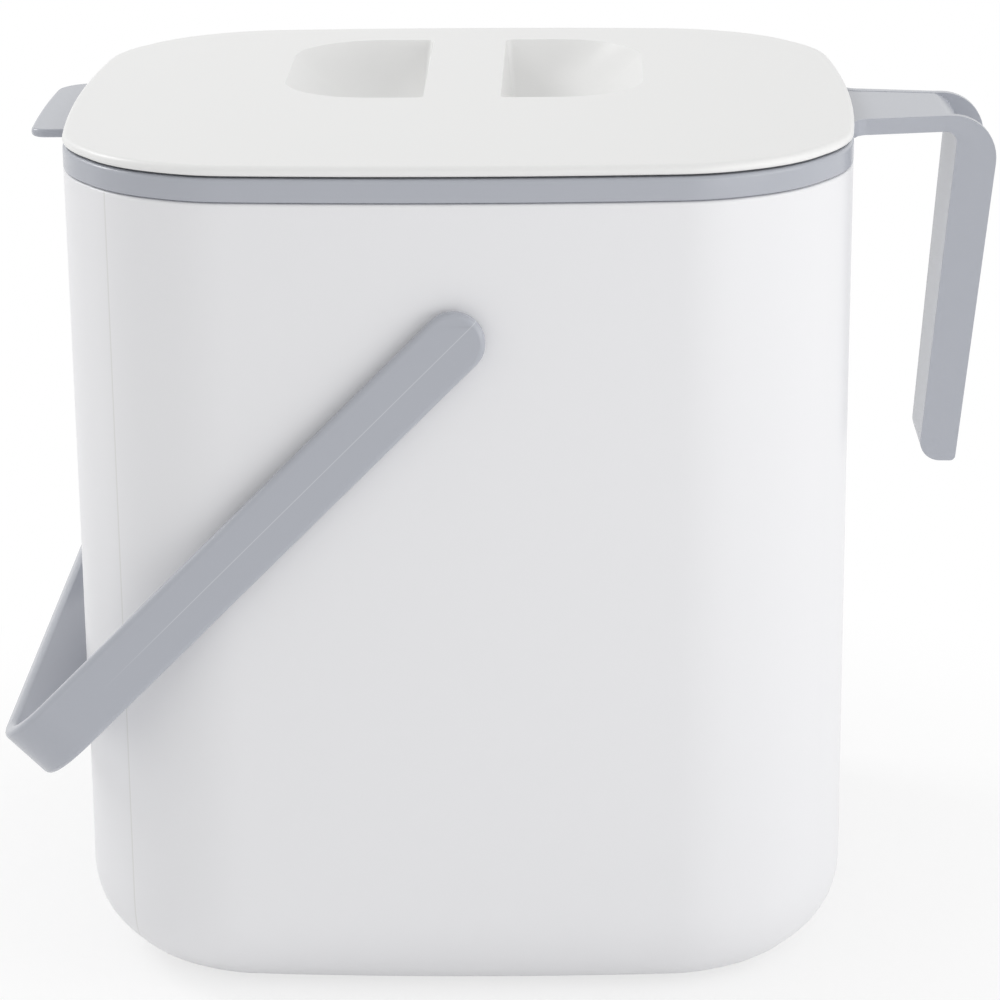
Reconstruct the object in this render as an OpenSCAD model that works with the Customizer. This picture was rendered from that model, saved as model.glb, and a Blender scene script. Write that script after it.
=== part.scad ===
// Compost caddy: a white bin, a grey lift-out bucket whose rim shows as a band,
// a lift-off lid with two finger pockets, and a swinging carrying handle.
// Millimetres. X is the width, the front wall faces -Y, +Z is up, and the origin
// is the centre of the base.

/* [Bin] */
// Width of the bin at its top edge
body_w = 240; // [200:1:300]
// Depth of the bin at its top edge, front to back
body_d = 220; // [190:1:280]
// Height of the bin's top edge above the base
body_h = 249.6; // [200:0.2:300]
// Corner radius of the bin seen from above
corner_r = 58; // [50:1:75]
// Radius of the soft bulge of the front and back walls
face_bulge_r = 1025; // [700:5:3000]
// Radius of the soft bulge of the two side walls
side_bulge_r = 590; // [450:5:3000]
// Radius of the curve from the walls into the base
base_r = 28; // [20:1:36]
// Wall thickness of the bin
bin_wall = 2.6; // [2:0.1:4]
// How far the walls draw in at half height
waist = 0.2; // [0:0.1:2]
// How far the walls draw in from the top edge to the base
bin_taper = 0; // [0:0.1:4]
// Rounding of the bin's top edge
top_edge_r = 1; // [0.4:0.1:1.2]
// Depth of the shallow ring pressed into the underside
foot_recess = 0.8; // [0.4:0.1:1.6]

/* [Bucket] */
// Height of the bucket's rim band that shows above the bin
rim_h = 7.2; // [6:0.2:12]
// Distance from the outer face of the rim to the outer face of the bucket's wall
bucket_inset = 9.5; // [9:0.1:14]
// Wall thickness of the bucket
bucket_wall = 2.2; // [1.6:0.1:3.5]
// How far each bucket wall leans in from top to bottom
bucket_taper = 4.8; // [1:0.2:10]
// Height of the underside of the bucket above the base
bucket_lift = 8; // [6:0.5:20]
// Thickness of the flat deck inside the rim
deck_t = 2.4; // [1.8:0.1:4]
// Depth of the locating skirt that drops inside the bin
skirt_h = 4.6; // [3:0.2:8]
// Clearance between the locating skirt and the bin's wall
skirt_gap = 0.45; // [0.3:0.05:1]
// Height of the fine shadow groove between the rim and the bin
rim_groove = 0.35; // [0.2:0.05:0.6]

/* [Rim tab] */
// Length of the lifting tab along the left side
tab_len = 73; // [50:1:110]
// How far the lifting tab stands out from the rim
tab_out = 11.2; // [8:0.1:20]
// Distance of the tab's middle behind the middle of the side
tab_back = 2.5; // [-10:0.5:10]
// Thickness of the lifting tab
tab_t = 2.6; // [1.4:0.1:3.5]
// Corner radius of the lifting tab at its front end
tab_r = 4.5; // [3:0.5:14]
// Corner radius of the lifting tab at its back end
tab_far_r = 11; // [3:0.5:14]
// Drop from the top of the rim to the top of the tab and the grip bar
ledge_drop = 1; // [0.6:0.1:2]

/* [Side grip] */
// Width of the grip's bar, front to back
grip_w = 39; // [28:1:50]
// Width of the grip's bar where it meets the rim
grip_root_w = 49; // [36:1:60]
// Width of the grip's leg at its lower end
grip_low_w = 27; // [24:1:46]
// Thickness of the grip's bar
grip_bar_t = 5; // [3.5:0.1:7]
// Gap between the bin and the grip's leg at the top
grip_gap = 32; // [24:0.5:45]
// How much closer the leg's inner face is at the lower end
grip_slant = 8.8; // [0:0.2:12]
// How far the leg reaches below the top of the bar
grip_drop = 112; // [80:1:140]
// Depth of the leg's edge ribs at the top
grip_deep = 12.9; // [10:0.1:18]
// Depth of the leg's edge ribs at the lower end
grip_low_deep = 11.6; // [8:0.2:16]
// Thickness of the leg's web and of its edge ribs
grip_web = 3; // [2:0.1:4.5]
// Outer bend radius of the edge ribs
grip_bend_r = 15; // [8:0.5:15]

/* [Lid] */
// Height of the lid's visible edge
lid_t = 3; // [2.6:0.1:5]
// Rounding of the lid's top edge
lid_edge_r = 1.8; // [0.6:0.1:2]
// Shadow gap between the rim and the lid
lid_gap = 0.6; // [0.4:0.1:1.5]
// Depth of the skirt that drops into the bucket's mouth
plug_h = 7.5; // [5:0.5:14]
// Clearance between the lid's skirt and the bucket's wall
plug_gap = 0.8; // [0.5:0.1:2]
// Width of the bridge between the two finger pockets
bridge_w = 24; // [16:0.5:36]
// Half the width of the pair of pockets
pocket_half = 56.5; // [46:0.5:70]
// Length of the pockets, front to back
pocket_len = 97; // [70:1:100]
// Corner radius of the pockets' outer ends
pocket_r = 28; // [12:1:30]
// Distance of the pockets' middle behind the lid's middle
pocket_back = 38; // [0:1:40]
// Depth of the pockets at their deepest point
pocket_depth = 19; // [10:0.5:24]
// Distance of the deepest point from the bridge's side
pocket_deep_x = 4; // [1:0.5:12]
// Fullness of the bowl from side to side: a high value has steep sides
bowl_power = 2; // [1.6:0.1:4]
// Fullness of the bowl towards its front and back ends
bowl_end_power = 4; // [1.6:0.1:5]
// Wall thickness of the pockets
pocket_wall = 2.2; // [1.6:0.1:3]

/* [Lid seal] */
// Width of the soft seal
seal_w = 3.4; // [2.4:0.1:5]
// Depth of the seal's groove in the lid
groove_h = 1.2; // [0.8:0.1:1.8]

/* [Handle] */
// Height of the handle's pivots above the base
pivot_z = 210; // [150:1:220]
// Distance from the pivots to the outer face of the crossbar
handle_len = 186; // [174:1:200]
// Width of the handle's strap
strap_w = 18.4; // [14:0.2:24]
// Thickness of the handle's strap
strap_t = 4.6; // [3.5:0.1:6]
// Outer radius of the handle's corners
handle_bend_r = 22; // [14:1:34]
// Rounding of the strap's edges
strap_edge_r = 1.7; // [0.5:0.1:2]
// Gap between the handle's arms and the widest part of the bin
arm_gap = 1; // [0.6:0.1:2]
// Gap between the leaning crossbar and the left wall
rest_gap = 1.7; // [0.3:0.1:6]
// Diameter of the pivot pins on the front and back walls
pin_d = 10; // [8:0.2:12]
// Radial clearance of the pins in the handle's sockets
pivot_clear = 0.06; // [0.03:0.01:0.1]
// Plastic left over each socket on the outer side of the arm
socket_floor = 1.3; // [1:0.1:2]
// Diameter of the flat boss round each pin
boss_d = 15; // [13:0.5:18]

/* [Hidden] */
$fn = 48;
white = [0.93, 0.93, 0.92];
grey = [0.67, 0.69, 0.72];
soft = [0.82, 0.82, 0.80];
half_w = body_w / 2;
half_d = body_d / 2;
rim_z = body_h + rim_h;
lid_z = rim_z + lid_gap;
lid_top = lid_z + lid_t;
// Outline centres: side arc, front arc and corner arc share them at every offset.
side_c = [half_w - side_bulge_r, 0];
face_c = [0, half_d - face_bulge_r];
face_in = face_bulge_r - corner_r;
side_in = side_bulge_r - corner_r;
gap_c = side_c - face_c;
gap_n = norm(gap_c);
dir_c = gap_c / gap_n;
along_c = (face_in * face_in - side_in * side_in + gap_n * gap_n) / (2 * gap_n);
cross_c = sqrt(face_in * face_in - along_c * along_c);
corner_c = face_c + along_c * dir_c + cross_c * [dir_c[1], -dir_c[0]];
side_a = atan2(corner_c[1], corner_c[0] - side_c[0]);
face_a = atan2(corner_c[1] - face_c[1], corner_c[0]);
side_n = 2;
corner_n = 8;
face_n = 3;
quarter_n = side_n + corner_n + face_n;
ring_n = 4 * quarter_n;
function polar(c, r, a) = c + r * [cos(a), sin(a)];
function quarter(d) = concat(
    [for (i = [0 : side_n - 1]) polar(side_c, side_bulge_r - d, side_a * i / side_n)],
    [for (i = [0 : corner_n - 1])
        polar(corner_c, corner_r - d, side_a + (face_a - side_a) * i / corner_n)],
    [for (i = [0 : face_n])
        polar(face_c, face_bulge_r - d, face_a + (90 - face_a) * i / face_n)]);
function outline(d) = let (q = quarter(d)) concat(
    [for (i = [0 : quarter_n - 1]) q[i]],
    [for (i = [0 : quarter_n - 1]) [-q[quarter_n - i][0], q[quarter_n - i][1]]],
    [for (i = [0 : quarter_n - 1]) [-q[i][0], -q[i][1]]],
    [for (i = [0 : quarter_n - 1]) [q[quarter_n - i][0], -q[quarter_n - i][1]]]);
function path_points(path) =
    [for (p = path) for (q = outline(p[0])) [q[0], q[1], p[1]]];
function band(j, k) = [for (i = [0 : ring_n - 1]) for (t = [0, 1])
    let (m = (i + 1) % ring_n)
    t == 0 ? [j * ring_n + i, k * ring_n + i, k * ring_n + m]
           : [j * ring_n + i, k * ring_n + m, j * ring_n + m]];
// How far the bin's outer face lies inside its top outline at a height.
function skin(z) = bin_taper * (body_h - z) / body_h
    + waist * 4 * (z / body_h) * (1 - z / body_h);
function bucket_skin(z) = bucket_inset
    + bucket_taper * (rim_z - z) / (rim_z - bucket_lift);
bin_in_r = base_r - bin_wall;
bucket_r = min(base_r - 2, corner_r - bucket_inset - bucket_taper - 4);
bucket_in_r = bucket_r - bucket_wall;
wall_steps = [0, 0.25, 0.5, 0.75, 1];
bin_path = concat(
    [for (a = [0 : 15 : 75])
        [skin(base_r * (1 - cos(a))) + base_r * (1 - sin(a)), base_r * (1 - cos(a))]],
    [for (s = wall_steps) let (z = base_r + (body_h - top_edge_r - base_r) * s)
        [skin(z), z]],
    [[0.3 * top_edge_r, body_h - 0.3 * top_edge_r],
     [top_edge_r, body_h],
     [bin_wall - 0.3, body_h],
     [bin_wall, body_h - 0.3]],
    [for (s = [0.25, 0.5, 0.75, 1]) let (z = body_h + (base_r - body_h) * s)
        [skin(z) + bin_wall, z]],
    [for (a = [72 : -18 : 0]) let (z = bin_wall + bin_in_r * (1 - cos(a)))
        [skin(z) + bin_wall + bin_in_r * (1 - sin(a)), z]]);
skirt_out = bin_wall + skirt_gap;
skirt_in = skirt_out + 2.6;
bucket_z = rim_z - deck_t;
bucket_path = concat(
    [for (a = [0 : 18 : 72]) let (z = bucket_lift + bucket_r * (1 - cos(a)))
        [bucket_skin(z) + bucket_r * (1 - sin(a)), z]],
    [[bucket_skin(bucket_lift + bucket_r), bucket_lift + bucket_r],
     [bucket_skin(bucket_z), bucket_z],
     [skirt_in, bucket_z],
     [skirt_in, body_h - skirt_h],
     [skirt_out + 0.6, body_h - skirt_h],
     [skirt_out, body_h - skirt_h + 1.4],
     [skirt_out, body_h],
     [1.3, body_h],
     [1, body_h + rim_groove],
     [0.4, body_h + rim_groove],
     [0, body_h + rim_groove + 0.4],
     [0, rim_z - 1.2],
     [0.35, rim_z - 0.35],
     [1.2, rim_z],
     [bucket_inset + bucket_wall - 0.8, rim_z],
     [bucket_inset + bucket_wall, rim_z - 0.8],
     [bucket_skin(bucket_lift + bucket_r) + bucket_wall, bucket_lift + bucket_r]],
    [for (a = [72 : -18 : 0])
        let (z = bucket_lift + bucket_wall + bucket_in_r * (1 - cos(a)))
        [bucket_skin(z) + bucket_wall + bucket_in_r * (1 - sin(a)), z]]);
plug_out = bucket_inset + bucket_wall + plug_gap;
plug_in = plug_out + 2;
seal_mid = (bucket_inset + bucket_wall) / 2;
seal_out = seal_mid - seal_w / 2;
seal_in = seal_mid + seal_w / 2;
groove_gap = 0.1;
lid_r = min(lid_edge_r, lid_t - 1.1);
lid_path = concat([
    [plug_in, lid_z],
    [plug_in, lid_z - plug_h],
    [plug_out + 0.6, lid_z - plug_h],
    [plug_out, lid_z - plug_h + 0.6],
    [plug_out, lid_z],
    [seal_in + groove_gap, lid_z],
    [seal_in + groove_gap, lid_z + groove_h],
    [seal_out - groove_gap, lid_z + groove_h],
    [seal_out - groove_gap, lid_z],
    [1, lid_z],
    [0.3, lid_z + 0.3],
    [0, lid_z + 1]],
    [for (a = [0 : 22.5 : 90])
        [lid_r * (1 - cos(a)), lid_top - lid_r * (1 - sin(a))]]);
seal_path = [
    [seal_out, lid_z],
    [seal_out, lid_z + groove_h],
    [seal_in, lid_z + groove_h],
    [seal_in, lid_z],
    [seal_in - 0.5, rim_z],
    [seal_out + 0.5, rim_z]];
// The crossbar stands rest_gap off the left wall, which sets the leaning angle.
bar_reach = handle_len - strap_t;
touch_r = norm([bar_reach, strap_w / 2]);
touch_a = atan2(strap_w / 2, bar_reach);
first_a = touch_a + asin(min(0.98, half_w / touch_r));
touch_z = max(base_r, pivot_z - touch_r * cos(first_a - touch_a));
lean = touch_a + asin(min(0.98, (half_w - skin(touch_z) + rest_gap) / touch_r));
arm_in = half_d + arm_gap;
arm_mid = arm_in + strap_t / 2;
arm_out = arm_in + strap_t;
wall_y = half_d - skin(pivot_z);
end_play = 0.15;
pin_end = arm_out - socket_floor - 0.3;
strap_r = min(strap_edge_r, strap_t / 2 - 0.2);
ledge_z = rim_z - ledge_drop;
// Side grip, drawn in the X-Z plane.
leg_x = half_w + grip_gap;
leg_top = ledge_z - grip_bar_t;
leg_low = ledge_z - grip_drop;
leg_h = leg_top - leg_low;
out_x = leg_x + grip_deep;
low_x = leg_x - grip_slant;
low_out = low_x + grip_low_deep;
in_k = grip_slant / leg_h;
out_k = (out_x - low_out) / leg_h;
function leg_in(z) = leg_x + in_k * (z - leg_top);
function leg_out(z) = out_x + out_k * (z - leg_top);
in_s = sqrt(1 + in_k * in_k);
out_s = sqrt(1 + out_k * out_k);

module solid_loft(path) {
    n = len(path);
    low_cap = [[for (i = [0 : ring_n - 1]) i]];
    top_cap = [[for (i = [0 : ring_n - 1]) n * ring_n - 1 - i]];
    walls = [for (j = [0 : n - 2]) for (f = band(j, j + 1)) f];
    polyhedron(points = path_points(path), faces = concat(low_cap, walls, top_cap));
}

module ring_loft(path) {
    n = len(path);
    walls = [for (j = [0 : n - 1]) for (f = band(j, (j + 1) % n)) f];
    polyhedron(points = path_points(path), faces = walls);
}

module base_recess() {
    difference() {
        solid_loft([[base_r + 9, -1], [base_r + 9, foot_recess]]);
        translate([0, 0, -2])
            cylinder(h = foot_recess + 4, d = 44);
    }
}

// Across-wall cylinder whose axis runs along Y, from y0 to y1.
module y_rod(d, y0, y1) {
    translate([0, y1, pivot_z])
        rotate([90, 0, 0])
            cylinder(h = y1 - y0, d = d);
}

// Flat boss and pivot pin on the back wall, for the handle's socket.
module pivot_pin() {
    y_rod(boss_d, wall_y - 0.8, arm_in - end_play);
    y_rod(pin_d, wall_y - 0.8, pin_end - 0.6);
    translate([0, pin_end, pivot_z])
        rotate([90, 0, 0])
            cylinder(h = 0.61, d1 = pin_d - 1.2, d2 = pin_d);
}

module outer_bin() {
    color(white)
    difference() {
        union() {
            solid_loft(bin_path);
            pivot_pin();
            mirror([0, 1, 0])
                pivot_pin();
        }
        base_recess();
        // The pins are cored out from inside, so that the wall stays even.
        y_rod(pin_d - 3.8, wall_y - bin_wall - 2, pin_end - 1.6);
        y_rod(pin_d - 3.8, 1.6 - pin_end, bin_wall + 2 - wall_y);
    }
}

function arc(c, r, a0, a1, n) = [for (i = [0 : n]) polar(c, r, a0 + (a1 - a0) * i / n)];

// The tab's outer edge runs parallel to the soft bulge of the side.
module lifting_tab() {
    big = side_bulge_r + tab_out;
    y0 = tab_back - tab_len / 2;
    y1 = tab_back + tab_len / 2;
    a0 = asin((y0 + tab_r) / (big - tab_r));
    a1 = asin((y1 - tab_far_r) / (big - tab_far_r));
    root_x = half_w - max(3, max(tab_r, tab_far_r) - tab_out + 1.5);
    mirror([1, 0, 0])
        translate([0, 0, ledge_z - tab_t])
            linear_extrude(height = tab_t)
                polygon(concat(
                    [[root_x, y0]],
                    arc(polar(side_c, big - tab_r, a0), tab_r, -90, a0, 6),
                    [for (i = [1 : 6]) polar(side_c, big, a0 + (a1 - a0) * i / 7)],
                    arc(polar(side_c, big - tab_far_r, a1), tab_far_r, a1, 90, 9),
                    [[root_x, y1]]));
}

// Corner patch: a four-sided piece less a circle, used to round a corner.
module corner_patch(c, p, q, s, r) {
    difference() {
        polygon([c, p, q, s]);
        translate(c)
            circle(r = r);
    }
}

module grip_side() {
    rb = grip_bend_r;
    oc = [leg_out(ledge_z - rb) - rb * out_s, ledge_z - rb];
    ri = 3.5;
    ic = [leg_in(leg_top - ri) - ri * in_s, leg_top - ri];
    rl = 7;
    lc = [leg_in(leg_low + rl) + rl * in_s, leg_low + rl];
    difference() {
        union() {
            polygon([
                [half_w - 4, leg_top],
                [leg_x, leg_top],
                [low_x, leg_low],
                [low_out, leg_low],
                [leg_out(ledge_z), ledge_z],
                [half_w - 4, ledge_z]]);
            corner_patch(ic, [ic[0], leg_top + 0.01], [leg_x + 0.2, leg_top + 0.01],
                [leg_in(leg_top - ri - 0.3) + 0.01, leg_top - ri - 0.3], ri);
        }
        corner_patch(oc, [oc[0], ledge_z + 1], [leg_out(ledge_z) + 2, ledge_z + 1],
            [oc[0] + rb + 3, oc[1] - out_k * rb], rb);
        corner_patch(lc, [lc[0], leg_low - 1], [low_x - 3, leg_low - 1],
            [lc[0] - rl - 3, lc[1] + in_k * rl], rl);
    }
}

// The open outer side of the leg: everything outside the web.
module grip_hollow() {
    rw = 8;
    wx = leg_in(ledge_z - rw) + grip_web;
    difference() {
        polygon([
            [wx - rw, ledge_z + 5],
            [wx - rw, ledge_z - rw],
            [wx, ledge_z - rw],
            [leg_in(leg_low + grip_web) + grip_web, leg_low + grip_web],
            [out_x + 20, leg_low + grip_web],
            [out_x + 20, ledge_z + 5]]);
        translate([wx - rw, ledge_z - rw])
            circle(r = rw);
    }
}

// The bar seen from above: it widens towards the rim and runs into it in fillets.
module grip_root() {
    r = 5;
    wide = (grip_root_w - grip_w) / 2;
    foot = grip_root_w / 2 - wide * r / (grip_gap - 4);
    polygon([
        [half_w - 5, -grip_root_w / 2],
        [half_w, -grip_root_w / 2],
        [leg_x - 4, -grip_w / 2],
        [leg_x - 4, grip_w / 2],
        [half_w, grip_root_w / 2],
        [half_w - 5, grip_root_w / 2]]);
    for (s = [-1, 1])
        scale([1, s])
            difference() {
                translate([half_w - 5, foot - 1])
                    square([r + 5, r + 1]);
                translate([half_w + r, foot + r])
                    circle(r = r);
            }
}

// The grip seen from its outer side: it narrows towards the lower end.
module grip_front(inset) {
    top_y = grip_w / 2 - inset;
    low_y = grip_low_w / 2 - inset;
    rotate([90, 0, 90])
        linear_extrude(height = out_x + 30)
            polygon([
                [-top_y, ledge_z + 6],
                [-top_y, leg_top - 8],
                [-low_y, leg_low - 1],
                [low_y, leg_low - 1],
                [top_y, leg_top - 8],
                [top_y, ledge_z + 6]]);
}

module side_grip() {
    difference() {
        intersection() {
            rotate([90, 0, 0])
                linear_extrude(height = grip_w, center = true)
                    grip_side();
            grip_front(0);
        }
        intersection() {
            rotate([90, 0, 0])
                linear_extrude(height = grip_w, center = true)
                    grip_hollow();
            grip_front(grip_web);
        }
    }
    translate([0, 0, leg_top])
        linear_extrude(height = grip_bar_t)
            grip_root();
}

module inner_bucket() {
    color(grey)
    union() {
        solid_loft(bucket_path);
        lifting_tab();
        side_grip();
    }
}

// D-shaped outline of the right-hand pocket, grown by a wall.
function pocket_plan(grow) = let (
    near = bridge_w / 2 - grow,
    far = pocket_half + grow,
    end = pocket_len / 2 + grow,
    r = pocket_r + grow,
    q = 2.5 + grow) concat(
    arc([near + q, q - end], q, 180, 270, 3),
    arc([far - r, r - end], r, 270, 360, 9),
    arc([far - r, end - r], r, 0, 90, 9),
    arc([near + q, end - q], q, 90, 180, 3));
bowl_steps = [1, 0.97, 0.93, 0.88, 0.82, 0.75, 0.67, 0.57, 0.45, 0.3, 0.15];

// A bowl: the outline shrinks towards its deepest point as it goes down.
module pocket_bowl(grow, top) {
    plan = pocket_plan(grow);
    m = len(plan);
    n = len(bowl_steps) + 1;
    mid = bridge_w / 2 + pocket_deep_x - 0.5 * grow;
    deep = pocket_depth + grow;
    rings = concat(
        [for (q = plan) [q[0], q[1], top]],
        [for (s = bowl_steps) let (left = pow(s, bowl_power)) for (q = plan)
            [mid + s * (q[0] - mid),
             pow(left, 1 / bowl_end_power) * q[1],
             lid_top - deep * (1 - left)]]);
    walls = [for (j = [0 : n - 2]) for (i = [0 : m - 1]) for (t = [0, 1])
        let (k = (i + 1) % m)
        t == 0 ? [j * m + i, j * m + k, (j + 1) * m + k]
               : [j * m + i, (j + 1) * m + k, (j + 1) * m + i]];
    upper = [[for (i = [0 : m - 1]) m - 1 - i]];
    lower = [[for (i = [0 : m - 1]) (n - 1) * m + i]];
    translate([0, pocket_back, 0])
        polyhedron(points = rings, faces = concat(upper, walls, lower));
}

module pocket_pair(grow, top) {
    pocket_bowl(grow, top);
    mirror([1, 0, 0])
        pocket_bowl(grow, top);
}

module lid() {
    color(white)
    difference() {
        union() {
            solid_loft(lid_path);
            intersection() {
                pocket_pair(pocket_wall, lid_top + 1);
                translate([-half_w, -half_d, lid_z - 40])
                    cube([body_w, body_d, 41]);
            }
        }
        pocket_pair(0, lid_top + 1);
    }
}

module lid_seal() {
    color(soft)
        ring_loft(seal_path);
}

module strap_section() {
    r = strap_r;
    square([strap_w - 2 * r, strap_t], center = true);
    square([strap_w, strap_t - 2 * r], center = true);
    for (x = [-1, 1])
        for (y = [-1, 1])
            translate([x * (strap_w / 2 - r), y * (strap_t / 2 - r)])
                circle(r = r, $fn = 16);
}

module strap_end() {
    r = strap_r;
    rotate([90, 0, 0])
        rotate_extrude()
            union() {
                translate([0, -strap_t / 2])
                    square([strap_w / 2 - r, strap_t]);
                translate([0, -strap_t / 2 + r])
                    square([strap_w / 2, strap_t - 2 * r]);
                for (y = [-1, 1])
                    translate([strap_w / 2 - r, y * (strap_t / 2 - r)])
                        circle(r = r, $fn = 16);
            }
}

// One arm, hanging straight down from its pivot on the front side.
module arm() {
    drop = handle_len - handle_bend_r;
    translate([0, -arm_mid, 0])
        strap_end();
    translate([0, -arm_mid, -drop])
        linear_extrude(height = drop)
            strap_section();
    translate([0, -arm_out + handle_bend_r, -drop])
        rotate([0, 90, 0])
            rotate([0, 0, -90])
                rotate_extrude(angle = 90)
                    translate([handle_bend_r - strap_t / 2, 0])
                        rotate([0, 0, 90])
                            strap_section();
}

module handle() {
    bar = 2 * (arm_out - handle_bend_r);
    color(grey)
    translate([0, 0, pivot_z])
        rotate([0, lean, 0])
            union() {
                for (s = [0, 1])
                    mirror([0, s, 0])
                        difference() {
                            arm();
                            translate([0, -arm_in + 1, 0])
                                rotate([90, 0, 0])
                                    cylinder(h = arm_out - socket_floor - arm_in + 1,
                                        d = pin_d + 2 * pivot_clear);
                        }
                translate([0, 0, -handle_len + strap_t / 2])
                    rotate([90, 0, 0])
                        linear_extrude(height = bar, center = true)
                            strap_section();
            }
}

outer_bin();
inner_bucket();
lid();
lid_seal();
handle();
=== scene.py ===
import math

import bmesh
import bpy
from mathutils import Matrix, Vector


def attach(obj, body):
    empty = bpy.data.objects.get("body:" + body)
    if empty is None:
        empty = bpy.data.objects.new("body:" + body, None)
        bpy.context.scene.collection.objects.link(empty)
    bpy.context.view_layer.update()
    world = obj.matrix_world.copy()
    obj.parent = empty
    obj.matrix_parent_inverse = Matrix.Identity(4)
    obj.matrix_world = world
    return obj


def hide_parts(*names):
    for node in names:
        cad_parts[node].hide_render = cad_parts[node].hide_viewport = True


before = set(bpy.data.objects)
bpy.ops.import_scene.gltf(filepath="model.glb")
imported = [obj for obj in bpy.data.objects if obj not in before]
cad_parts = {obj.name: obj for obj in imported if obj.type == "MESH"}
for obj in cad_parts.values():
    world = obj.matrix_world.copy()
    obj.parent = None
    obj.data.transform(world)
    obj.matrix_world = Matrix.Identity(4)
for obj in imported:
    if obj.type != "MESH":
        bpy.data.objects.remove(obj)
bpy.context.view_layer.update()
print("frame loaded")


# how near, in millimetres, a vertex, a height or an edge has to be to count as there
samePlace, sameHeight, sameSide = 0.01, 0.02, 0.1
# an edge longer than this, in millimetres, is a straight side and not part of a rounded corner
longEdge = 20
# a face larger than this, in square metres, is a piece's whole top or bottom
wideFace = 1e-3
# a face is level, or square to an axis, where its normal's share passes the first number;
# it is a wall where the upward share stays below the second, and an upright one below the third
levelShare, wallShare, uprightShare = 0.9, 0.5, 0.1
# a block that cuts or is cut reaches this far past the surface, in millimetres
past = 1


def mm(*values):
    scaled = [v * 0.001 for v in values]
    return scaled[0] if len(scaled) == 1 else tuple(scaled)


def objectMode():
    if bpy.context.object and bpy.context.object.mode != "OBJECT":
        bpy.ops.object.mode_set(mode="OBJECT")


def nothingPicked():
    objectMode()
    bpy.ops.object.select_all(action="DESELECT")


def onlyThis(obj):
    # every edit starts from one selected, active object
    nothingPicked()
    obj.select_set(True)
    bpy.context.view_layer.objects.active = obj


def pick(obj, kind, test):
    # selects vertices, edges or faces by their place or normal, and leaves edit mode on
    if obj.mode != "EDIT":
        onlyThis(obj)
        bpy.ops.object.mode_set(mode="EDIT")
    bpy.ops.mesh.select_mode(type=kind)
    bpy.ops.mesh.select_all(action="DESELECT")
    bm = bmesh.from_edit_mesh(obj.data)
    bm.normal_update()
    parts = {"VERT": bm.verts, "EDGE": bm.edges, "FACE": bm.faces}[kind]
    chosen = [p for p in parts if test(p)]
    for p in chosen:
        p.select_set(True)
    bm.select_flush_mode()
    bmesh.update_edit_mesh(obj.data)
    return len(chosen)


def isAt(place, target, reach=samePlace):
    # a place in metres against a target in millimetres
    return abs(place - mm(target)) < mm(reach)


def middle(edge):
    # in millimetres
    return (edge.verts[0].co + edge.verts[1].co) / 2 * 1000


def flatEdge(edge, z):
    # an edge that lies level at height z, in millimetres
    return all(isAt(v.co.z, z, sameHeight) for v in edge.verts)


def wallTurn(edge):
    # between a level face and a wall: above 0 where the wall faces away from the middle,
    # below 0 where it faces the middle, and 0 for any other edge
    normals = [f.normal for f in edge.link_faces]
    level = [n for n in normals if abs(n.z) > levelShare]
    walls = [n for n in normals if abs(n.z) < wallShare]
    m = middle(edge)
    return walls[0].x * m.x + walls[0].y * m.y if level and walls else 0


def outerEdge(edge):
    return wallTurn(edge) > 0


def innerEdge(edge):
    return wallTurn(edge) < 0


def sharpEdge(edge, degrees):
    return len(edge.link_faces) == 2 and edge.calc_face_angle(0) > math.radians(degrees)


def fixNormals(obj):
    onlyThis(obj)
    bpy.ops.object.mode_set(mode="EDIT")
    bpy.ops.mesh.select_all(action="SELECT")
    bpy.ops.mesh.normals_make_consistent(inside=False)
    objectMode()


def roundEdges(obj, kind, test, radius, segments, clamp=False):
    if pick(obj, kind, test):
        bpy.ops.mesh.bevel(offset=mm(radius), segments=segments, profile=0.5,
                           affect="VERTICES" if kind == "VERT" else "EDGES",
                           clamp_overlap=clamp)


def extrudeBy(x, y, z):
    bpy.ops.mesh.extrude_region_move(TRANSFORM_OT_translate={"value": mm(x, y, z)})


def drawWalls(z, levels, drawnIn, halfX, halfY):
    # extrudes the picked face from height to height, and draws its outline in on the way:
    # drawnIn gives the millimetres at a height
    for level in levels:
        extrudeBy(0, 0, level - z)
        shrink = drawnIn(level) - drawnIn(z)
        bpy.ops.transform.resize(value=(1 - shrink / halfX, 1 - shrink / halfY, 1),
                                 center_override=(0, 0, mm(level)))
        z = level


def pullSoftly(x, y, reach):
    # moves the picked vertices, and those around them less and less, in one soft curve
    bpy.ops.transform.translate(value=mm(x, y, 0), use_proportional_edit=True,
                                proportional_edit_falloff="INVERSE_SQUARE",
                                proportional_size=mm(reach))


def insetBy(thickness):
    bpy.ops.mesh.inset(thickness=mm(thickness), depth=0, use_even_offset=True)


def cutWith(obj, tool, operation):
    onlyThis(obj)
    step = obj.modifiers.new("cut", "BOOLEAN")
    step.operation = operation
    step.object = tool
    step.solver = "EXACT"
    bpy.ops.object.modifier_apply(modifier=step.name)
    bpy.data.objects.remove(tool, do_unlink=True)


def joinInto(obj, others):
    onlyThis(obj)
    for other in others:
        other.select_set(True)
    bpy.ops.object.join()


def settle(obj):
    # place, turn and size go into the mesh
    onlyThis(obj)
    bpy.ops.object.transform_apply(location=True, rotation=True, scale=True)


def smoothOff(obj):
    # round parts shade round, and edges sharper than the angle stay edges
    onlyThis(obj)
    bpy.ops.object.shade_smooth_by_angle(angle=math.radians(38))
    step = obj.modifiers.new("flat faces stay flat", "WEIGHTED_NORMAL")
    step.keep_sharp = True
    step.weight = 80
    bpy.ops.object.modifier_apply(modifier=step.name)


# turns what stands along Z, or lies flat, to run along Y, or stand in the X-Z plane
alongY = (math.pi / 2, 0, 0)


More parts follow.
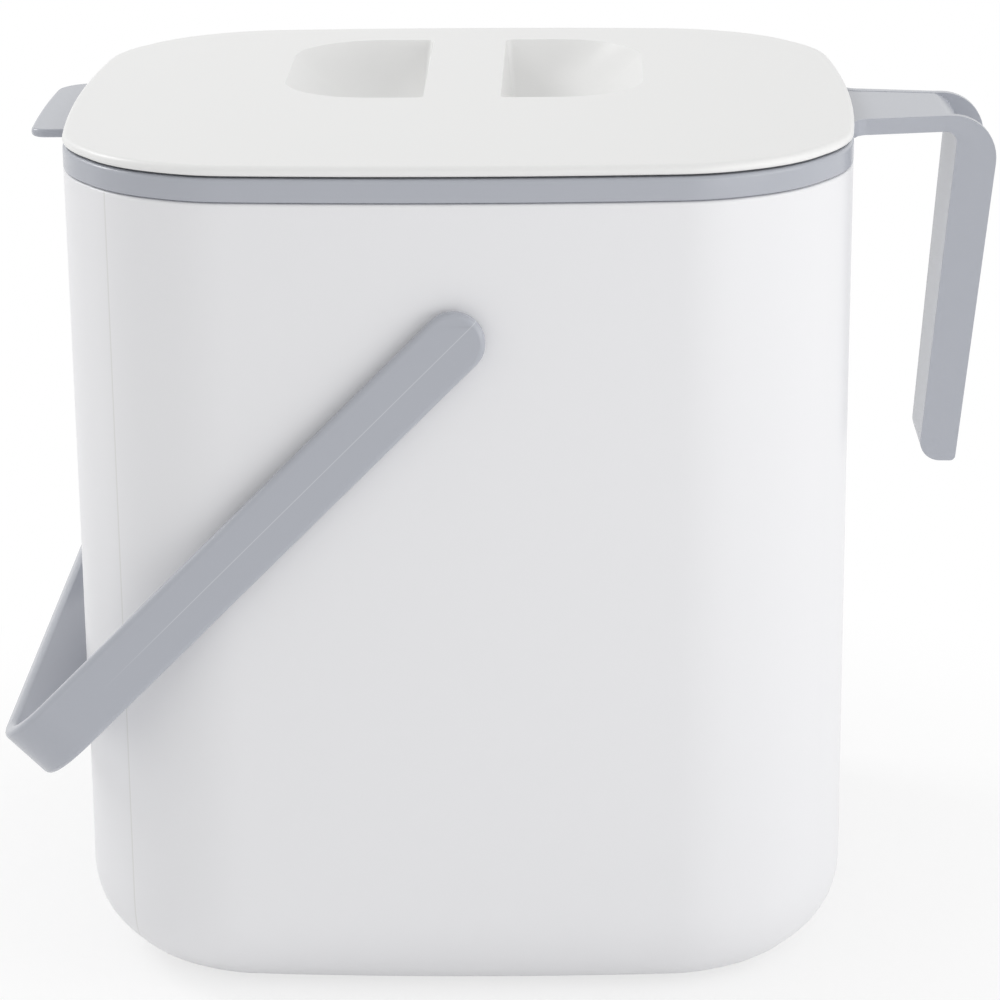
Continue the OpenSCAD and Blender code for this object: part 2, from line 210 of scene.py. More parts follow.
def rod(name, radius, depth, place, turn=(0, 0, 0)):
    nothingPicked()
    bpy.ops.mesh.primitive_cylinder_add(vertices=64, radius=mm(radius), depth=mm(depth),
                                        location=mm(*place), rotation=turn)
    obj = bpy.context.object
    obj.name = name
    settle(obj)
    return obj


def sheetPlan(name, x0, x1, y0, y1, z):
    # a flat rectangle to start a piece from
    nothingPicked()
    bpy.ops.mesh.primitive_plane_add(size=1, location=mm((x0 + x1) / 2, (y0 + y1) / 2, z))
    obj = bpy.context.object
    obj.name = name
    obj.scale = mm(x1 - x0, y1 - y0, 1000)
    settle(obj)
    return obj


# the outline that bin, rim and lid share; all sizes of the pieces are in millimetres
outline = {
    "halfWidth": 120, "halfDepth": 110,
    "cornerCut": 49.13, "cornerSteps": 20, "sideSteps": 9,
    "sideBulge": 5.67, "sideReach": 83.03,
    "faceBulge": 3.567, "faceReach": 85.28,
}


def caddyPlan(name, z):
    # a rectangle with rounded corners, whose four sides are pulled out in a soft curve
    s = outline
    w = s["halfWidth"] - s["sideBulge"]
    d = s["halfDepth"] - s["faceBulge"]
    obj = sheetPlan(name, -w, w, -d, d, z)
    roundEdges(obj, "VERT", lambda v: True, s["cornerCut"], s["cornerSteps"])
    pick(obj, "EDGE", lambda e: e.calc_length() > mm(longEdge))
    bpy.ops.mesh.subdivide(number_cuts=s["sideSteps"])
    for side in (-1, 1):
        pick(obj, "VERT", lambda v: isAt(v.co.x, side * w) and isAt(v.co.y, 0))
        pullSoftly(side * s["sideBulge"], 0, s["sideReach"])
        pick(obj, "VERT", lambda v: isAt(v.co.y, side * d) and isAt(v.co.x, 0))
        pullSoftly(0, side * s["faceBulge"], s["faceReach"])
    pick(obj, "FACE", lambda f: True)
    return obj


def hexColour(text):
    # sRGB hex to the linear values Blender mixes
    parts = [int(text[i:i + 2], 16) / 255 for i in (1, 3, 5)]
    return [c / 12.92 if c <= 0.04045 else ((c + 0.055) / 1.055) ** 2.4 for c in parts] + [1]


def addNode(tree, kind, settings=None, links=None):
    node = tree.nodes.new(kind)
    for name, value in (settings or {}).items():
        if name in node.inputs:
            node.inputs[name].default_value = value
        else:
            setattr(node, name, value)
    for name, source in (links or {}).items():
        tree.links.new(source, node.inputs[name])
    return node


def newMaterial(name):
    material = bpy.data.materials.new(name)
    material.use_nodes = True
    material.node_tree.nodes.clear()
    return material, material.node_tree


# lengths in millimetres; a line's "only" lists directions, each with the distance along it
# where nothing of the line shows yet and the distance from which all of it does
mouldedWhite = {
    "colour": "#ECECEB", "roughness": 0.36, "ior": 1.49,
    "sparkMm": 0.35, "sparkDepthMm": 0.012, "sparkStrength": 0.25,
}
mouldedBin = {
    **mouldedWhite, "colour": "#E9E9EB",
    # the mould's parting line runs down the front left corner, a touch darker
    "line": {"facing": (1, 0, 0), "atMm": -101, "halfMm": 0.28, "colour": "#DDDDDC",
             "only": [((0, -1, 0), 0, 10)]},
}
mouldedGrey = {
    "colour": "#AEB1B9", "roughness": 0.24, "ior": 1.49,
    "sparkMm": 0.4, "sparkDepthMm": 0.014, "sparkStrength": 0.25,
}
# the handle's lean at rest, and the height of its pivots in millimetres
handleLean, handlePivot = math.radians(44.902), 210
mouldedStrap = {
    **mouldedGrey,
    # the parting line runs along the middle of the front arm, a touch lighter,
    # and fades out low
    "line": {"facing": (math.cos(handleLean), 0, -math.sin(handleLean)),
             "atMm": -handlePivot * math.sin(handleLean), "halfMm": 0.17, "colour": "#C2C5CA",
             "only": [((0, -1, 0), 100, 108), ((0, 0, 1), 104, 128)]},
}
sealRubber = {"colour": "#C9CAC8", "roughness": 0.55, "ior": 1.42}


def alongAxis(tree, coords, axis):
    # how far a point lies along a direction, in metres
    along = addNode(tree, "ShaderNodeVectorMath", {"operation": "DOT_PRODUCT"},
                    {"Vector": coords.outputs["Object"]})
    along.inputs[1].default_value = axis
    return along.outputs["Value"]


# the share of a line's half width that has its full colour, before it fades out
lineCore = 0.4


def fineLine(tree, coords, line):
    # 1 on a hair-thin line where a plane through the object meets its surface
    offset = addNode(tree, "ShaderNodeMath", {"operation": "SUBTRACT"})
    tree.links.new(alongAxis(tree, coords, line["facing"]), offset.inputs[0])
    offset.inputs[1].default_value = mm(line["atMm"])
    away = addNode(tree, "ShaderNodeMath", {"operation": "ABSOLUTE"})
    tree.links.new(offset.outputs[0], away.inputs[0])
    shade = addNode(tree, "ShaderNodeMapRange",
                    {"interpolation_type": "SMOOTHSTEP",
                     "From Min": mm(line["halfMm"] * lineCore), "From Max": mm(line["halfMm"]),
                     "To Min": 1.0, "To Max": 0.0},
                    {"Value": away.outputs[0]})
    mask = shade.outputs["Result"]
    for axis, none, full in line["only"]:
        fade = addNode(tree, "ShaderNodeMapRange", {"From Min": mm(none), "From Max": mm(full)},
                       {"Value": alongAxis(tree, coords, axis)})
        both = addNode(tree, "ShaderNodeMath", {"operation": "MULTIPLY"})
        tree.links.new(mask, both.inputs[0])
        tree.links.new(fade.outputs["Result"], both.inputs[1])
        mask = both.outputs[0]
    return mask


def mouldedPlastic(name, look):
    # injection-moulded polypropylene: dense colour, soft broad shine, fine spark-eroded grain
    material, tree = newMaterial(name)
    coords = addNode(tree, "ShaderNodeTexCoord")
    grain = addNode(tree, "ShaderNodeTexNoise",
                    {"Scale": 1000 / look["sparkMm"], "Detail": 2.0, "Roughness": 0.5},
                    {"Vector": coords.outputs["Object"]})
    bump = addNode(tree, "ShaderNodeBump",
                   {"Strength": look["sparkStrength"], "Distance": mm(look["sparkDepthMm"])},
                   {"Height": grain.outputs["Fac"]})
    shader = addNode(tree, "ShaderNodeBsdfPrincipled",
                     {"Base Color": hexColour(look["colour"]), "Roughness": look["roughness"],
                      "IOR": look["ior"]},
                     {"Normal": bump.outputs["Normal"]})
    if "line" in look:
        # the Mix node's sockets for colours have the numbers 6 and 7, and 2 on the way out
        tint = addNode(tree, "ShaderNodeMix", {"data_type": "RGBA"})
        tree.links.new(fineLine(tree, coords, look["line"]), tint.inputs[0])
        tint.inputs[6].default_value = hexColour(look["colour"])
        tint.inputs[7].default_value = hexColour(look["line"]["colour"])
        tree.links.new(tint.outputs[2], shader.inputs["Base Color"])
    addNode(tree, "ShaderNodeOutputMaterial", None, {"Surface": shader.outputs["BSDF"]})
    return material


def siliconeRubber(name, look):
    # soft silicone: pale grey, dull, without grain
    material, tree = newMaterial(name)
    shader = addNode(tree, "ShaderNodeBsdfPrincipled",
                     {"Base Color": hexColour(look["colour"]), "Roughness": look["roughness"],
                      "IOR": look["ior"]})
    addNode(tree, "ShaderNodeOutputMaterial", None, {"Surface": shader.outputs["BSDF"]})
    return material


whitePlastic = mouldedPlastic("white injection-moulded polypropylene", mouldedWhite)
binPlastic = mouldedPlastic("white polypropylene with a parting line", mouldedBin)
greyPlastic = mouldedPlastic("grey injection-moulded polypropylene", mouldedGrey)
strapPlastic = mouldedPlastic("grey polypropylene with a parting line", mouldedStrap)
silicone = siliconeRubber("pale silicone rubber", sealRubber)


def finishPiece(obj, material, body, node):
    obj.data.materials.clear()
    obj.data.materials.append(material)
    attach(obj, body)
    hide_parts(node)


print("materials made")


# outer bin
binSize = {
    "height": 249.6, "wall": 2.6, "baseRadius": 28, "waist": 0.2,
    "topRound": 1.0, "mouthRound": 0.5, "outerLevels": (32, 64, 96, 128, 160, 192, 224),
    "innerLevels": (224, 192, 160, 128, 96, 64, 31),
    "footInset": 9, "footRecess": 0.8, "discRadius": 22, "discRound": 0.3, "discOverlap": 0.4,
    "pivotHeight": handlePivot, "studSink": 0.8,
    "bossRadius": 7.5, "bossEnd": 110.85, "bossRound": 0.35,
    "pinRadius": 5, "pinEnd": 114.0, "pinRound": 0.6,
    "coreRadius": 3.1, "coreEnd": 112.4, "coreSink": 5,
}


def skin(z):
    # the walls are a hair slimmer halfway up
    t = z / binSize["height"]
    return binSize["waist"] * 4 * t * (1 - t)


def makeBin():
    s = binSize
    w, d = outline["halfWidth"], outline["halfDepth"]
    obj = caddyPlan("bin shell", 0)
    drawWalls(0, (*s["outerLevels"], s["height"]), skin, w, d)
    insetBy(s["wall"])
    drawWalls(s["height"], (*s["innerLevels"], s["wall"]), skin, w - s["wall"], d - s["wall"])
    fixNormals(obj)
    roundEdges(obj, "EDGE", lambda e: flatEdge(e, 0), s["baseRadius"], 12)
    roundEdges(obj, "EDGE", lambda e: flatEdge(e, s["wall"]), s["baseRadius"] - s["wall"], 10)
    roundEdges(obj, "EDGE", lambda e: flatEdge(e, s["height"]) and outerEdge(e),
               s["topRound"], 4)
    roundEdges(obj, "EDGE", lambda e: flatEdge(e, s["height"]) and innerEdge(e),
               s["mouthRound"], 3)
    # shallow ring pressed into the underside, with the level gate disc in its middle
    pick(obj, "FACE", lambda f: f.normal.z < -levelShare and f.calc_area() > wideFace
         and f.calc_center_median().z < mm(sameSide))
    insetBy(s["footInset"])
    extrudeBy(0, 0, s["footRecess"])
    thick = s["footRecess"] + s["discOverlap"]
    disc = rod("gate disc", s["discRadius"], thick, (0, 0, thick / 2))
    roundEdges(disc, "EDGE", lambda e: flatEdge(e, 0), s["discRound"], 3)
    # a flat boss and a pin for the handle's socket, front and back, cored out from inside
    wallY = d - skin(s["pivotHeight"])

    def studAt(side, radius, start, end):
        return rod("stud", radius, end - start, (0, side * (end + start) / 2, s["pivotHeight"]),
                   alongY)

    for side in (-1, 1):
        for part in ("boss", "pin"):
            end = s[part + "End"]
            stud = studAt(side, s[part + "Radius"], wallY - s["studSink"], end)
            roundEdges(stud, "EDGE",
                       lambda e: all(abs(v.co.y) > mm(end - sameSide) for v in e.verts),
                       s[part + "Round"], 3)
            cutWith(obj, stud, "UNION")
        core = studAt(side, s["coreRadius"], wallY - s["coreSink"], s["coreEnd"])
        cutWith(obj, core, "DIFFERENCE")
    joinInto(obj, [disc])
    obj.name = "outerBinLook"
    smoothOff(obj)
    finishPiece(obj, binPlastic, "bin", "outer_bin")
    print("outer bin modelled")


makeBin()


# inner bucket with its rim, and the tab and side grip that grow out of it
bucketSize = {
    "low": 249.6, "high": 256.8, "deck": 2.4, "inset": 9.5, "wall": 2.2, "taper": 4.8,
    "floor": 8, "baseRadius": 25, "levels": (190, 120, 38),
    "skirtDrop": 4.6, "skirtOut": 3.05, "skirtWall": 2.6, "skirtRound": 0.6,
    "topRound": 1.2, "lowRound": 0.4, "innerRound": 0.8,
    "groove": 0.35, "grooveIn": 1.0, "grooveEdge": 0.3,
}
tabSize = {
    "reach": 11.2, "bulge": 1.05, "bulgeReach": 36, "length": 73, "back": 2.5, "thick": 2.6,
    "nearRadius": 4.5, "farRadius": 11, "top": 255.8, "round": 1.0, "rootSink": 3,
    "edgeSteps": 13,
}
gripSize = {
    "barTop": 255.8, "barThick": 5, "width": 39, "rootWidth": 49, "lowWidth": 27, "gap": 32,
    "slant": 8.8, "drop": 112, "deep": 12.9, "lowDeep": 11.6, "web": 3, "bend": 15,
    "innerBend": 3.5, "toeRadius": 7, "heelRadius": 1.5, "hollowBend": 8, "hollowHeel": 1.2,
    "edge": 1.3, "barStart": 4,
    # where the bar's fillets end, short of the rim, and the steps they are drawn in
    "flare": 5, "flareSteps": (4, 3.1, 2.3, 1.6, 1.0, 0.5, 0.15, -0.6, -4),
    # the blocks that cut the grip reach past it by these
    "over": 8, "side": 4, "reach": 60, "hollowOver": 6, "hollowReach": 20,
}


def makeTab():
    s = tabSize
    x0 = -outline["halfWidth"] - s["reach"] + s["bulge"]
    near, far = s["back"] - s["length"] / 2, s["back"] + s["length"] / 2
    rootX = -outline["halfWidth"] + s["rootSink"]
    tab = sheetPlan("tab", x0, rootX, near, far, s["top"] - s["thick"])
    for end, radius in ((near, s["nearRadius"]), (far, s["farRadius"])):
        roundEdges(tab, "VERT", lambda v: isAt(v.co.x, x0) and isAt(v.co.y, end), radius, 12)
    # the outer edge is pulled out in the same soft curve as the bin's side
    pick(tab, "EDGE", lambda e: middle(e).x < x0 + samePlace and e.calc_length() > mm(longEdge))
    bpy.ops.mesh.subdivide(number_cuts=s["edgeSteps"])
    verts = bmesh.from_edit_mesh(tab.data).verts
    nearest = min(abs(v.co.y) for v in verts if isAt(v.co.x, x0)) * 1000
    pick(tab, "VERT", lambda v: isAt(v.co.x, x0) and isAt(abs(v.co.y), nearest))
    pullSoftly(-s["bulge"], 0, s["bulgeReach"])
    pick(tab, "FACE", lambda f: True)
    extrudeBy(0, 0, s["thick"])
    fixNormals(tab)
    low = s["top"] - s["thick"]
    roundEdges(tab, "EDGE", lambda e: (flatEdge(e, s["top"]) or flatEdge(e, low))
               and middle(e).x < rootX - sameSide, s["round"], 4)
    objectMode()
    return tab


def sideProfile(name, corners, rounds, halfWidth):
    # a flat outline in the X-Z plane, its corners rounded one by one, then pulled out along Y
    nothingPicked()
    bpy.ops.mesh.primitive_circle_add(vertices=len(corners), radius=0.05, fill_type="NGON",
                                      location=(0, 0, 0), rotation=alongY)
    obj = bpy.context.object
    obj.name = name
    settle(obj)
    for vertex, corner in zip(obj.data.vertices, corners):
        vertex.co = Vector(mm(corner[0], -halfWidth, corner[1]))
    for corner, radius in zip(corners, rounds):
        if radius:
            roundEdges(obj, "VERT", lambda v: isAt(v.co.x, corner[0])
                       and isAt(v.co.z, corner[1]), radius, 12)
    pick(obj, "FACE", lambda f: True)
    extrudeBy(0, 2 * halfWidth, 0)
    fixNormals(obj)
    return obj


def gripFront(inset):
    # the grip seen along X: it narrows towards its lower end
    s = gripSize
    barLow, legLow = s["barTop"] - s["barThick"], s["barTop"] - s["drop"]
    topHalf, lowHalf = s["width"] / 2 - inset, s["lowWidth"] / 2 - inset
    high, bend, low = s["barTop"] + s["over"], barLow - s["over"], legLow - past
    across = [(-topHalf, high), (-topHalf, bend), (-lowHalf, low),
              (lowHalf, low), (topHalf, bend), (topHalf, high)]
    sides = sideProfile("sides", across, [0] * len(across), s["reach"])
    objectMode()
    sides.rotation_euler = (0, 0, math.pi / 2)
    sides.location = mm(outline["halfWidth"] + s["gap"], 0, 0)
    settle(sides)
    fixNormals(sides)
    return sides


def makeGrip():
    s = gripSize
    w = outline["halfWidth"]
    barLow = s["barTop"] - s["barThick"]
    legLow = s["barTop"] - s["drop"]
    legX = w + s["gap"]
    tall = barLow - legLow
    outX, lowX = legX + s["deep"], legX - s["slant"]
    lowOut = lowX + s["lowDeep"]
    outSlope = (outX - lowOut) / tall
    inSlope = s["slant"] / tall
    rootX = legX - s["barStart"]
    blockHalf = s["width"] / 2 + s["side"]
    corners = [(rootX, barLow), (legX, barLow), (lowX, legLow), (lowOut, legLow),
               (outX + outSlope * s["barThick"], s["barTop"]), (rootX, s["barTop"])]
    rounds = [0, s["innerBend"], s["toeRadius"], s["heelRadius"], s["bend"], 0]
    grip = sideProfile("grip", corners, rounds, blockHalf)
    cutWith(grip, gripFront(0), "INTERSECT")
    rw = s["hollowBend"]
    webTop = legX + inSlope * (s["barTop"] - rw - barLow) + s["web"]
    webLow = legX + inSlope * (legLow + s["web"] - barLow) + s["web"]
    high, low, far = s["barTop"] + s["hollowOver"], legLow + s["web"], outX + s["hollowReach"]
    hollow = sideProfile("hollow", [(webTop - rw, high), (webTop - rw, s["barTop"]),
                                    (webTop, s["barTop"]), (webLow, low),
                                    (far, low), (far, high)],
                         [0, 0, rw, s["hollowHeel"], 0, 0], blockHalf)
    cutWith(hollow, gripFront(s["web"]), "INTERSECT")
    cutWith(grip, hollow, "DIFFERENCE")
    # the bar goes on to the rim from its own end face: it widens, and ends in fillets
    pick(grip, "FACE", lambda f: f.normal.x < -levelShare
         and isAt(f.calc_center_median().x, rootX))
    widen = (s["rootWidth"] - s["width"]) / 2 / (rootX - w)
    x, wide = rootX, s["width"] / 2
    for nearer in (s["flare"], *s["flareSteps"]):
        extrudeBy(w + nearer - x, 0, 0)
        x = w + nearer
        over = s["flare"] - max(nearer, 0)
        nextWide = s["width"] / 2 + widen * (rootX - max(x, w + s["flare"]))
        nextWide += s["flare"] - math.sqrt(max(s["flare"] ** 2 - over ** 2, 0))
        bpy.ops.transform.resize(value=(1, nextWide / wide, 1),
                                 center_override=mm(x, 0, s["barTop"]))
        wide = nextWide
    pick(grip, "EDGE", lambda e: sharpEdge(e, 40) and middle(e).x > x + sameSide)
    bpy.ops.mesh.bevel(offset=mm(s["edge"]), segments=3, profile=0.5, clamp_overlap=True)
    objectMode()
    return grip


def makeBucket():
    s = bucketSize
    w, d = outline["halfWidth"], outline["halfDepth"]
    seam = s["low"] + s["groove"]
    obj = caddyPlan("bucket", seam)
    extrudeBy(0, 0, s["high"] - seam)
    inside = s["inset"] + s["wall"]
    insetBy(inside)
    slope = s["taper"] / (s["high"] - s["floor"])

    def drawnIn(z):
        return -slope * z

    drawWalls(s["high"], (*s["levels"], s["floor"] + s["wall"]), drawnIn,
              w - inside, d - inside)
    fixNormals(obj)
    pick(obj, "FACE", lambda f: isAt(f.calc_center_median().z, seam, sameSide)
         and f.calc_area() > wideFace)
    # a fine shadow groove between rim and bin, then the face that rests on the bin
    insetBy(s["grooveIn"])
    bpy.ops.mesh.inset(thickness=mm(s["grooveEdge"]), depth=mm(s["groove"]),
                       use_even_offset=True)
    insetBy(s["skirtOut"] - s["grooveIn"] - s["grooveEdge"])
    extrudeBy(0, 0, -s["skirtDrop"])
    insetBy(s["skirtWall"])
    extrudeBy(0, 0, s["skirtDrop"] + s["high"] - s["deck"] - s["low"])
    insetBy(s["inset"] - s["skirtOut"] - s["skirtWall"])
    drawWalls(s["high"] - s["deck"], (*s["levels"], s["floor"]), drawnIn,
              w - s["inset"], d - s["inset"])
    fixNormals(obj)
    roundEdges(obj, "EDGE", lambda e: flatEdge(e, s["floor"]), s["baseRadius"], 9)
    roundEdges(obj, "EDGE", lambda e: flatEdge(e, s["floor"] + s["wall"]),
               s["baseRadius"] - s["wall"], 9)
    roundEdges(obj, "EDGE", lambda e: flatEdge(e, s["high"]) and outerEdge(e), s["topRound"], 5)
    roundEdges(obj, "EDGE", lambda e: flatEdge(e, s["high"]) and innerEdge(e),
               s["innerRound"], 4)
    roundEdges(obj, "EDGE", lambda e: flatEdge(e, seam) and outerEdge(e)
               and all(f.normal.z < uprightShare for f in e.link_faces)
               and any(abs(f.normal.z) < uprightShare for f in e.link_faces),
               s["lowRound"], 3)
    roundEdges(obj, "EDGE", lambda e: flatEdge(e, s["low"] - s["skirtDrop"]),
               s["skirtRound"], 3)
    objectMode()
    joinInto(obj, [makeTab(), makeGrip()])
    obj.name = "innerBucketLook"
    smoothOff(obj)
    finishPiece(obj, greyPlastic, "bucket", "inner_bucket")
    print("inner bucket modelled")


makeBucket()


# lid with its finger pockets
lidSize = {
    "low": 257.4, "thick": 3, "topRound": 1.8, "lowRound": 1.0,
    "grooveOut": 4.2, "grooveIn": 7.6, "grooveDeep": 1.2,
    "plugOut": 12.5, "plugWall": 2, "plugDrop": 7.5, "plugRound": 0.6,
    # only the outermost lower edge lies this far from the middle of the base
    "farOut": 275,
}
pocketSize = {
    "bridge": 24, "half": 56.5, "length": 97, "radius": 28, "back": 38, "depth": 19, "deepX": 4,
    "fullness": 2, "endFullness": 4, "rings": 26, "ringSpread": 1.35,
    "wall": 2.2, "wallShift": 0.5, "bridgeCorner": 2.5, "rim": 0.9,
}


def pocketBlock(side, grow):
    # a bowl below a D-shaped outline: it shrinks towards its deepest point as it goes down,
    # and stands a little above the lid's top
    s = pocketSize
    x0, x1 = s["bridge"] / 2 - grow, s["half"] + grow
    y0, y1 = s["back"] - s["length"] / 2 - grow, s["back"] + s["length"] / 2 + grow
    top = lidSize["low"] + lidSize["thick"]
    block = sheetPlan("pocket", x0, x1, y0, y1, top)
    roundEdges(block, "VERT", lambda v: isAt(v.co.x, x1), s["radius"] + grow, 20)
    roundEdges(block, "VERT", lambda v: isAt(v.co.x, x0), s["bridgeCorner"] + grow, 6)
    pick(block, "FACE", lambda f: True)
    extrudeBy(0, 0, past)
    fixNormals(block)
    pick(block, "FACE", lambda f: isAt(f.calc_center_median().z, top))
    # the block that makes the wall is deepest a little nearer the bridge
    middleX = s["bridge"] / 2 + s["deepX"] - s["wallShift"] * grow
    deep = s["depth"] + grow
    wide, long, z = 1.0, 1.0, top
    for step in range(1, s["rings"]):
        share = 1 - (step / s["rings"]) ** s["ringSpread"]
        left = share ** s["fullness"]
        along = left ** (1 / s["endFullness"])
        low = top - deep * (1 - left)
        extrudeBy(0, 0, low - z)
        bpy.ops.transform.resize(value=(share / wide, along / long, 1),
                                 center_override=mm(middleX, s["back"], low))
        wide, long, z = share, along, low
    fixNormals(block)
    if side < 0:
        onlyThis(block)
        block.scale = (-1, 1, 1)
        settle(block)
        fixNormals(block)
    return block


def makeLid():
    s, p = lidSize, pocketSize
    top = s["low"] + s["thick"]
    obj = caddyPlan("lid", s["low"])
    extrudeBy(0, 0, s["thick"])
    fixNormals(obj)
    pick(obj, "FACE", lambda f: f.normal.z < -levelShare)
    insetBy(s["grooveOut"])
    extrudeBy(0, 0, s["grooveDeep"])
    insetBy(s["grooveIn"] - s["grooveOut"])
    extrudeBy(0, 0, -s["grooveDeep"])
    insetBy(s["plugOut"] - s["grooveIn"])
    extrudeBy(0, 0, -s["plugDrop"])
    insetBy(s["plugWall"])
    extrudeBy(0, 0, s["plugDrop"])
    fixNormals(obj)
    roundEdges(obj, "EDGE", lambda e: flatEdge(e, top) and outerEdge(e), s["topRound"], 5)
    roundEdges(obj, "EDGE", lambda e: flatEdge(e, s["low"]) and outerEdge(e)
               and middle(e).length > s["farOut"], s["lowRound"], 5)
    roundEdges(obj, "EDGE", lambda e: flatEdge(e, s["low"] - s["plugDrop"]), s["plugRound"], 3)
    objectMode()
    for side in (-1, 1):
        shell = pocketBlock(side, p["wall"])
        pick(shell, "FACE", lambda f: True)
        bpy.ops.mesh.bisect(plane_co=mm(0, 0, s["low"] + past), plane_no=(0, 0, 1),
                            clear_outer=True, use_fill=True)
        objectMode()
        cutWith(obj, shell, "UNION")
    for side in (-1, 1):
        cutWith(obj, pocketBlock(side, 0), "DIFFERENCE")
    # the pockets' edges, and no other edge of the lid's top
    roundEdges(obj, "EDGE", lambda e: flatEdge(e, top) and sharpEdge(e, 57.3)
               and abs(middle(e).x) < p["half"] + past
               and abs(middle(e).y - p["back"]) < p["length"] / 2 + past, p["rim"], 4, True)
    objectMode()
    obj.name = "lidLook"
    smoothOff(obj)
    finishPiece(obj, whitePlastic, "cover", "lid")
    print("lid modelled")


makeLid()


# the seal's CAD ring is its finished shape, so it only gets its material
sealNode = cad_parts["lid_seal"]
sealNode.data.materials.clear()
sealNode.data.materials.append(silicone)


# carrying handle
handleSize = {
    "length": 186, "strap": 18.4, "thick": 4.6, "bend": 22, "edge": 1.7, "armGap": 1.0,
    "socketRadius": 5.06, "socketFloor": 1.3,
}


def makeHandle():
    s = handleSize
    out = outline["halfDepth"] + s["armGap"] + s["thick"]
    t = s["thick"]
    half = s["strap"] / 2
    # the U seen from the pivots' side, flat in the Y-Z plane, built quad by quad
    nothingPicked()
    bpy.ops.mesh.primitive_plane_add(size=1,
                                     location=mm(-half, -out + t / 2, -s["length"] + t / 2),
                                     rotation=(0, math.pi / 2, 0))
    strap = bpy.context.object
    strap.name = "strap"
    strap.scale = mm(t, t, 1000)
    settle(strap)
    pick(strap, "EDGE", lambda e: middle(e).y > -out + t - sameSide)
    extrudeBy(0, 2 * (out - t), 0)
    pick(strap, "EDGE", lambda e: middle(e).y > out - t - sameSide)
    extrudeBy(0, t, 0)
    pick(strap, "EDGE", lambda e: middle(e).z > -s["length"] + t - sameSide
         and abs(middle(e).y) > out - t)
    extrudeBy(0, 0, s["length"] - t + half)
    pick(strap, "FACE", lambda f: True)
    bpy.ops.mesh.dissolve_limited(angle_limit=math.radians(1))
    roundEdges(strap, "VERT", lambda v: isAt(v.co.z, -s["length"]), s["bend"], 20)
    roundEdges(strap, "VERT", lambda v: isAt(v.co.z, t - s["length"])
               and isAt(abs(v.co.y), out - t), s["bend"] - t, 16)
    pick(strap, "FACE", lambda f: True)
    extrudeBy(2 * half, 0, 0)
    fixNormals(strap)
    # the ends of the arms are round about the pivots, a hair short of meeting in the middle
    roundEdges(strap, "EDGE", lambda e: flatEdge(e, half)
               and abs(abs(middle(e).x) - half) < samePlace, half - samePlace, 24)
    pick(strap, "EDGE", lambda e: sharpEdge(e, 60))
    bpy.ops.mesh.bevel(offset=mm(s["edge"]), segments=4, profile=0.5, clamp_overlap=False)
    objectMode()
    # blind sockets for the bin's pins, open on the inner side of each arm
    low, high = outline["halfDepth"] + s["armGap"] - past, out - s["socketFloor"]
    for side in (-1, 1):
        socket = rod("socket", s["socketRadius"], high - low, (0, side * (low + high) / 2, 0),
                     alongY)
        cutWith(strap, socket, "DIFFERENCE")
    onlyThis(strap)
    strap.rotation_euler = (0, handleLean, 0)
    strap.location = mm(0, 0, handlePivot)
    settle(strap)
    strap.name = "handleLook"
    smoothOff(strap)
    finishPiece(strap, strapPlastic, "carry_handle", "handle")
    print("handle modelled")


makeHandle()


# floor, sky and lamps
stageLook = {
    "floor": "#F7F7F7", "floorSize": 12, "floorHeight": -0.0002, "skyStrength": 0.66,
    "shadowShare": 0.3, "shadowFrom": 0.12, "shadowTo": 0.3, "aim": (0, 0, 0.13),
    # place in metres, width and height in metres, power in watts
    "boxes": {
        "left front box": ((-1.5, -0.6, 0.6), (1.2, 1.4), 1.4),
        "left back box": ((-1.3, 0.6, 1.25), (0.6, 0.8), 9.4),
        "right box": ((1.5, -0.5, 0.8), (1.2, 1.4), 6.9),
        "right low box": ((1.1, -1.2, 0.25), (1.0, 0.5), 3.6),
    },
}


def seenRays(tree):
    # 1 where the camera, a reflection or a refraction looks at the background
    path = addNode(tree, "ShaderNodeLightPath")
    most = path.outputs["Is Camera Ray"]
    for name in ("Is Glossy Ray", "Is Transmission Ray"):
        step = addNode(tree, "ShaderNodeMath", {"operation": "MAXIMUM"})
        tree.links.new(most, step.inputs[0])
        tree.links.new(path.outputs[name], step.inputs[1])
        most = step.outputs[0]
    return most


def mixShaders(tree, fac, first, second):
    # the two shader sockets share one name, so they go by number
    mix = addNode(tree, "ShaderNodeMixShader", None, {"Fac": fac})
    tree.links.new(first, mix.inputs[1])
    tree.links.new(second, mix.inputs[2])
    return mix.outputs[0]


def makeFloor():
    s = stageLook
    nothingPicked()
    bpy.ops.mesh.primitive_plane_add(size=s["floorSize"], location=(0, 0, s["floorHeight"]))
    floor = bpy.context.object
    floor.name = "floor"
    material, tree = newMaterial("pale seamless paper")
    paper = addNode(tree, "ShaderNodeBsdfDiffuse", {"Color": hexColour(s["floor"])})
    glow = addNode(tree, "ShaderNodeEmission", {"Color": (1, 1, 1, 1), "Strength": 1.0})
    # the shadow shows close to the bin only, and the paper runs out to plain white
    coords = addNode(tree, "ShaderNodeTexCoord")
    away = addNode(tree, "ShaderNodeVectorMath", {"operation": "LENGTH"},
                   {"Vector": coords.outputs["Object"]})
    share = addNode(tree, "ShaderNodeMapRange",
                    {"interpolation_type": "SMOOTHSTEP", "From Min": s["shadowFrom"],
                     "From Max": s["shadowTo"], "To Min": s["shadowShare"], "To Max": 0.0},
                    {"Value": away.outputs["Value"]})
    shadowed = mixShaders(tree, share.outputs["Result"], glow.outputs[0], paper.outputs[0])
    surface = mixShaders(tree, seenRays(tree), paper.outputs[0], shadowed)
    addNode(tree, "ShaderNodeOutputMaterial", None, {"Surface": surface})
    floor.data.materials.append(material)


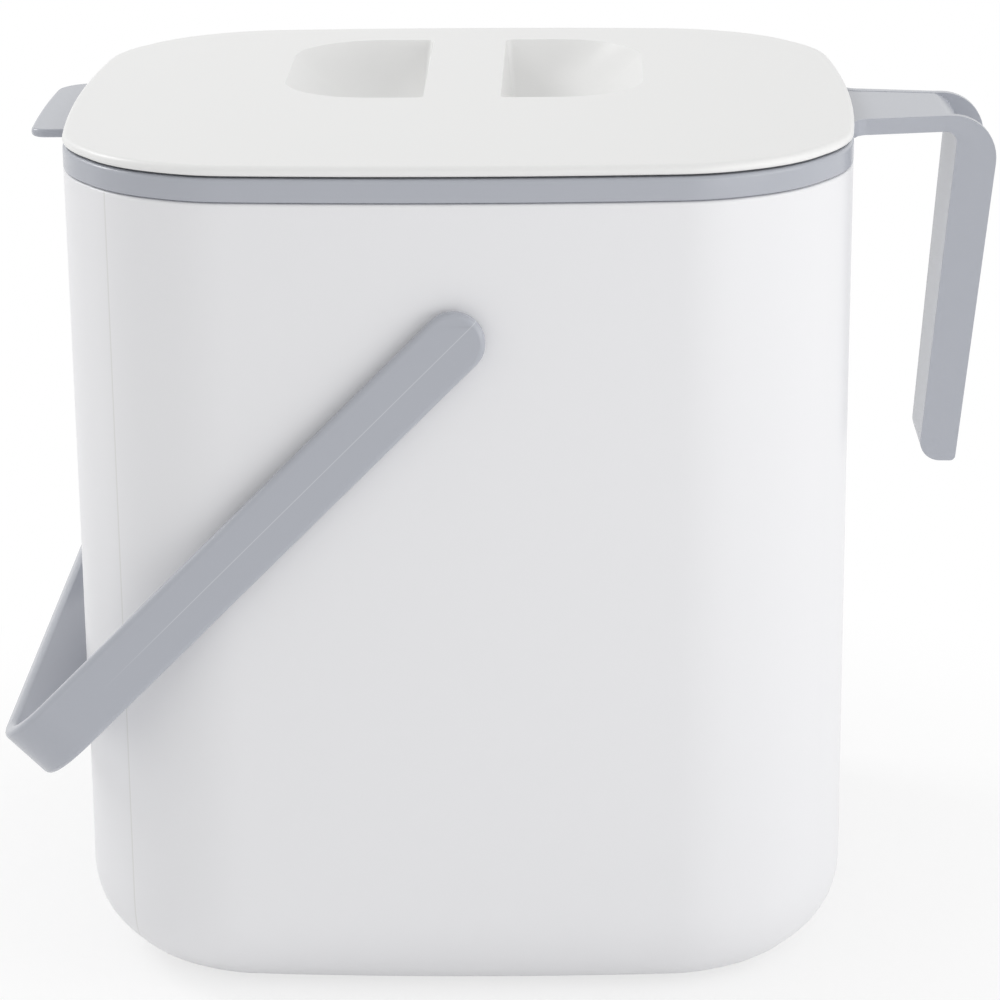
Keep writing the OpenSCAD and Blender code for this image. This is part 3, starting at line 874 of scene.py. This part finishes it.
def makeSky():
    # lights the object softly, and is plain white where it is seen
    world = bpy.data.worlds.new("studio")
    bpy.context.scene.world = world
    world.use_nodes = True
    tree = world.node_tree
    tree.nodes.clear()
    soft, shown = [addNode(tree, "ShaderNodeBackground",
                           {"Color": (1, 1, 1, 1), "Strength": strength}).outputs[0]
                   for strength in (stageLook["skyStrength"], 1.0)]
    surface = mixShaders(tree, seenRays(tree), soft, shown)
    addNode(tree, "ShaderNodeOutputWorld", None, {"Surface": surface})


def softBox(name, place, size, power):
    nothingPicked()
    bpy.ops.object.light_add(type="AREA", location=place)
    lamp = bpy.context.object
    lamp.name = name
    lamp.data.shape = "RECTANGLE"
    lamp.data.size, lamp.data.size_y = size
    lamp.data.energy = power
    ahead = Vector(stageLook["aim"]) - Vector(place)
    lamp.rotation_euler = ahead.to_track_quat("-Z", "Y").to_euler()


makeFloor()
makeSky()
for boxName, boxLook in stageLook["boxes"].items():
    softBox(boxName, *boxLook)
print("stage and light set")

# fitted to the outlines in the photograph: place in millimetres, turns in radians
cameraSet = {
    "place": (34.7, -1101, 479.4), "turnLeft": 0.022, "tiltDown": 0.310, "roll": -0.009,
    "focalPixels": 3586.6, "framePixels": 1000, "sensor": 36,
}


def makeCamera():
    s = cameraSet
    yaw, pitch, roll = s["turnLeft"], s["tiltDown"], s["roll"]
    ahead = Vector((-math.sin(yaw) * math.cos(pitch), math.cos(yaw) * math.cos(pitch),
                    -math.sin(pitch)))
    right = Vector((math.cos(yaw), math.sin(yaw), 0))
    up = right.cross(ahead)
    right, up = (math.cos(roll) * right + math.sin(roll) * up,
                 -math.sin(roll) * right + math.cos(roll) * up)
    camera = bpy.data.cameras.new("photo camera")
    holder = bpy.data.objects.new("photo camera", camera)
    bpy.context.scene.collection.objects.link(holder)
    turn = Matrix((right, up, -ahead)).transposed().to_4x4()
    holder.matrix_world = Matrix.Translation(Vector(mm(*s["place"]))) @ turn
    camera.sensor_width = s["sensor"]
    camera.lens = s["focalPixels"] / s["framePixels"] * s["sensor"]
    camera.clip_start, camera.clip_end = 0.01, 30
    bpy.context.scene.camera = holder


makeCamera()
bpy.context.scene.view_settings.view_transform = "Standard"
